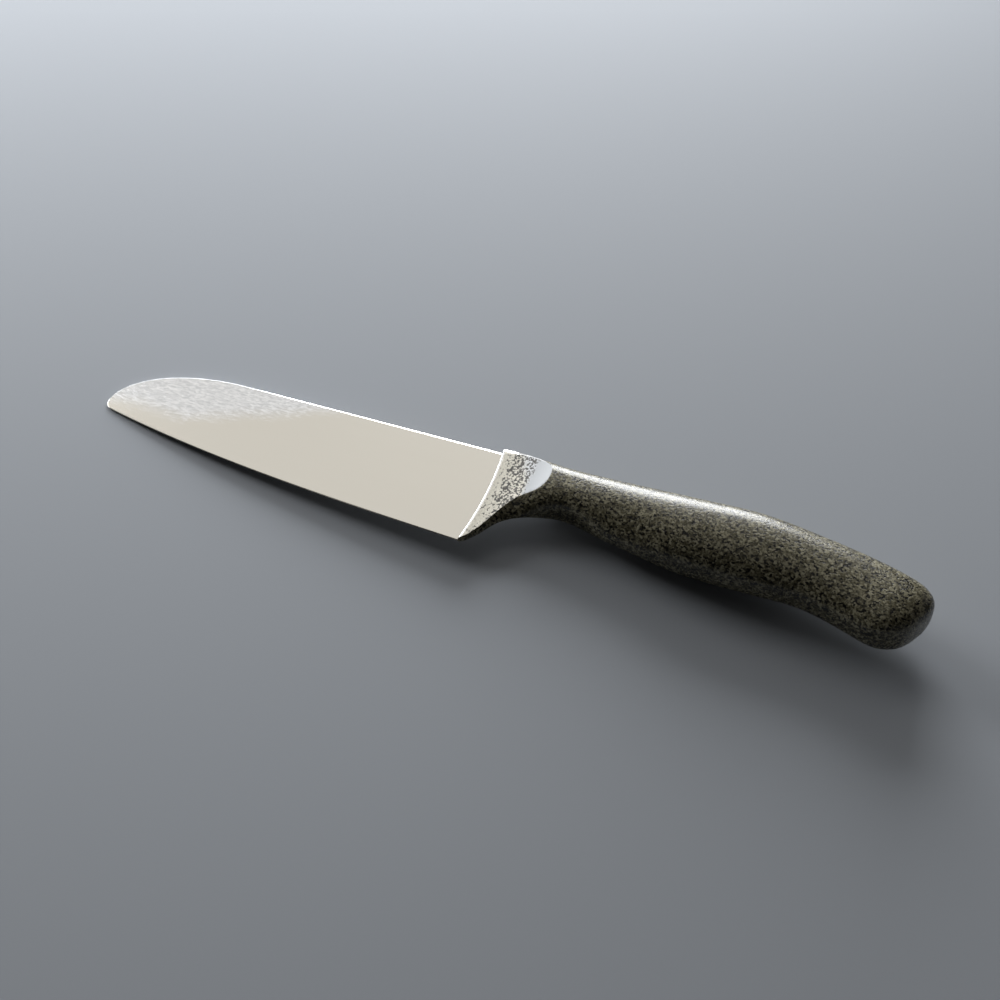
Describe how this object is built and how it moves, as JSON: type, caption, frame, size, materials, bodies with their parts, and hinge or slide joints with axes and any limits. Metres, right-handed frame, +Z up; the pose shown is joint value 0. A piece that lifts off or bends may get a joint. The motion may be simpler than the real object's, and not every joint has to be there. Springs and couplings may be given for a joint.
{
  "type": "santoku knife",
  "caption": "Short santoku kitchen knife lying on its side: satin flat-ground blade, scooped full-height bolster and drooping granite-effect handle over a hidden pinned tang.",
  "frame": {"origin": "on the surface the knife lies on, under the middle of its overall box", "axes": "+X along the knife towards the butt, +Y from the cutting edge towards the spine, +Z up from the surface it lies on"},
  "size_m": [0.2852, 0.0404, 0.0213],
  "materials": {
    "satin_steel": "satin",
    "speckled_steel": "satin",
    "granite_composite": "satin",
    "pin_steel": "satin"
  },
  "bodies": {
    "root": {"blade": "satin_steel", "bolster": "speckled_steel", "handle_upper_half": "granite_composite", "handle_lower_half": "granite_composite", "front_tang_pin": "pin_steel", "middle_tang_pin": "pin_steel", "rear_tang_pin": "pin_steel", "butt_dowel": "pin_steel"}
  },
  "joints": []
}
